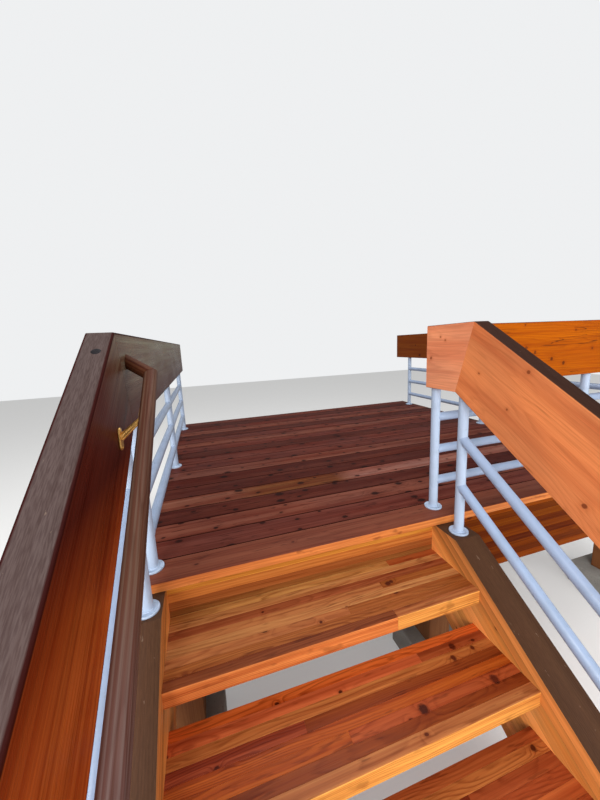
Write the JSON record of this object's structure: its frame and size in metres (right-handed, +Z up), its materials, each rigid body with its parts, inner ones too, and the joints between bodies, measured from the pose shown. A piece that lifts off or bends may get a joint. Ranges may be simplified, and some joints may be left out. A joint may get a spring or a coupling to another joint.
{
  "type": "wooden deck stairs",
  "caption": "Raised timber entrance deck with an open flight of laminated treads, heavy timber rails on painted steel pipe guards and a side handrail.",
  "frame": {"origin": "on the ground, under the middle of the whole structure's box", "axes": "+Z up, +Y from the foot of the flight to the house, +X to the right as one climbs"},
  "size_m": [3, 3.817, 1.804],
  "materials": {
    "deck_wood": "stained deck boards, satin",
    "nosing_wood": "stained front board, satin",
    "beam_wood": "laminated timber, clear amber stain",
    "joist_wood": "sawn timber, unfinished",
    "concrete": "cast concrete, matte",
    "stringer_wood": "laminated timber, clear orange-brown stain",
    "tread_wood": "laminated strips, clear stain, satin",
    "dark_rail_wood": "dark stained timber, worn sheen",
    "pale_rail_wood": "salmon stained timber, satin",
    "golden_rail_wood": "golden stained timber, satin",
    "brown_rail_wood": "red-brown stained timber, satin",
    "handrail_wood": "dark stained hardwood, soft sheen",
    "pipe_paint": "pale blue-grey paint, semi-gloss",
    "bracket_brass": "aged brass"
  },
  "bodies": {
    "root": {"deck_boards": "deck_wood", "nosing_board": "nosing_wood", "front_rim_beam": "beam_wood", "rear_rim_beam": "beam_wood", "left_rim_beam": "beam_wood", "right_rim_beam": "beam_wood", "floor_joists": "joist_wood", "support_posts": "joist_wood", "pier_blocks": "concrete", "left_stringer": "stringer_wood", "right_stringer": "stringer_wood", "tread_1": "tread_wood", "tread_2": "tread_wood", "tread_3": "tread_wood", "tread_4": "tread_wood", "left_stair_rail": "dark_rail_wood", "right_stair_rail": "pale_rail_wood", "right_rail_head": "pale_rail_wood", "left_guard_beam": "dark_rail_wood", "front_guard_beam": "golden_rail_wood", "right_guard_beam": "brown_rail_wood", "left_stair_posts": "pipe_paint", "left_stair_flanges": "pipe_paint", "left_stair_pipes": "pipe_paint", "right_stair_posts": "pipe_paint", "right_stair_flanges": "pipe_paint", "right_stair_pipes": "pipe_paint", "left_guard_posts": "pipe_paint", "left_guard_flanges": "pipe_paint", "left_guard_pipes": "pipe_paint", "front_guard_posts": "pipe_paint", "front_guard_flanges": "pipe_paint", "front_guard_pipes": "pipe_paint", "right_guard_posts": "pipe_paint", "right_guard_flanges": "pipe_paint", "right_guard_pipes": "pipe_paint", "handrail": "handrail_wood", "handrail_return": "handrail_wood", "handrail_brackets": "bracket_brass"}
  },
  "joints": []
}
